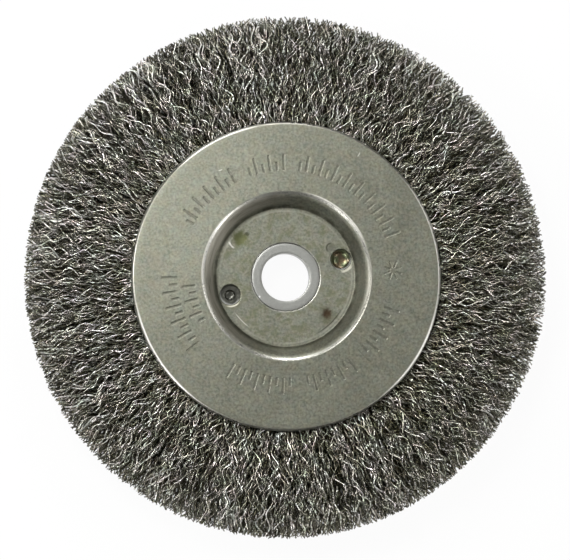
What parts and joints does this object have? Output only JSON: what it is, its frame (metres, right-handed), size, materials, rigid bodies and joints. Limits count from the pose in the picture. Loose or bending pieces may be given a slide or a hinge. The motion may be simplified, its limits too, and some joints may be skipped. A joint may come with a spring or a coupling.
{
  "type": "wire wheel brush",
  "caption": "Narrow crimped wire wheel brush with dished steel side plates, a plain arbor bore and pin holes, for cleaning and deburring on a grinder.",
  "frame": {"origin": "centre of the arbor bore, halfway through the wheel's width", "axes": "+Z along the wheel's axis, out of the front plate; +X and +Y across the wheel, with the pin holes 18 degrees round from X"},
  "size_m": [0.1704, 0.1708, 0.019],
  "materials": {
    "plate_steel": "worn satin pressed steel",
    "hub_steel": "turned steel",
    "ring_steel": "drawn steel rod",
    "wire_steel": "bright crimped carbon steel wire"
  },
  "bodies": {
    "root": {"face_plate_front": "plate_steel", "face_plate_back": "plate_steel", "hub_disc": "hub_steel", "retaining_ring": "ring_steel", "wire_fill": "wire_steel"}
  },
  "joints": []
}
